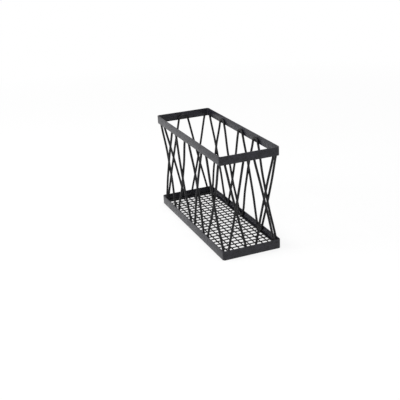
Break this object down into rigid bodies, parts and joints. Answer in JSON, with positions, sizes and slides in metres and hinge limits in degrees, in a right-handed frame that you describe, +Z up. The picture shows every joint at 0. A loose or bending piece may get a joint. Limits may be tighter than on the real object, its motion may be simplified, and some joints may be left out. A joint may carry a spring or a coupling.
{
  "type": "wire basket",
  "caption": "Narrow open-topped steel wire basket with flat strip rims, crossed zigzag side wires and a mesh floor, for a cabinet door or shelf.",
  "frame": {"origin": "middle of the plane that the tray's foot stands on", "axes": "+X across the basket, +Y along it from the front end to the back end, +Z up"},
  "size_m": [0.101, 0.28, 0.17],
  "materials": {
    "coated_strip": "matte powder coat",
    "coated_side_wire": "matte powder coat",
    "coated_mesh_wire": "matte powder coat"
  },
  "bodies": {
    "root": {"top_rim": "coated_strip", "tray_rim": "coated_strip", "left_outer_wire_front_half": "coated_side_wire", "left_outer_wire_back_half": "coated_side_wire", "left_inner_wire_front_half": "coated_side_wire", "left_inner_wire_back_half": "coated_side_wire", "right_outer_wire_front_half": "coated_side_wire", "right_outer_wire_back_half": "coated_side_wire", "right_inner_wire_front_half": "coated_side_wire", "right_inner_wire_back_half": "coated_side_wire", "front_outer_wire": "coated_side_wire", "front_inner_wire": "coated_side_wire", "back_outer_wire": "coated_side_wire", "back_inner_wire": "coated_side_wire", "border_wire": "coated_side_wire", "mesh_long_wire_1": "coated_mesh_wire", "mesh_long_wire_2": "coated_mesh_wire", "mesh_long_wire_3": "coated_mesh_wire", "mesh_long_wire_4": "coated_mesh_wire", "mesh_long_wire_5": "coated_mesh_wire", "mesh_long_wire_6": "coated_mesh_wire", "mesh_long_wire_7": "coated_mesh_wire", "mesh_long_wire_8": "coated_mesh_wire", "mesh_long_wire_9": "coated_mesh_wire", "mesh_cross_wire_01": "coated_mesh_wire", "mesh_cross_wire_02": "coated_mesh_wire", "mesh_cross_wire_03": "coated_mesh_wire", "mesh_cross_wire_04": "coated_mesh_wire", "mesh_cross_wire_05": "coated_mesh_wire", "mesh_cross_wire_06": "coated_mesh_wire", "mesh_cross_wire_07": "coated_mesh_wire", "mesh_cross_wire_08": "coated_mesh_wire", "mesh_cross_wire_09": "coated_mesh_wire", "mesh_cross_wire_10": "coated_mesh_wire", "mesh_cross_wire_11": "coated_mesh_wire", "mesh_cross_wire_12": "coated_mesh_wire", "mesh_cross_wire_13": "coated_mesh_wire", "mesh_cross_wire_14": "coated_mesh_wire", "mesh_cross_wire_15": "coated_mesh_wire", "mesh_cross_wire_16": "coated_mesh_wire", "mesh_cross_wire_17": "coated_mesh_wire", "mesh_cross_wire_18": "coated_mesh_wire", "mesh_cross_wire_19": "coated_mesh_wire", "mesh_cross_wire_20": "coated_mesh_wire", "mesh_cross_wire_21": "coated_mesh_wire", "mesh_cross_wire_22": "coated_mesh_wire", "mesh_cross_wire_23": "coated_mesh_wire", "mesh_cross_wire_24": "coated_mesh_wire", "mesh_cross_wire_25": "coated_mesh_wire"}
  },
  "joints": []
}
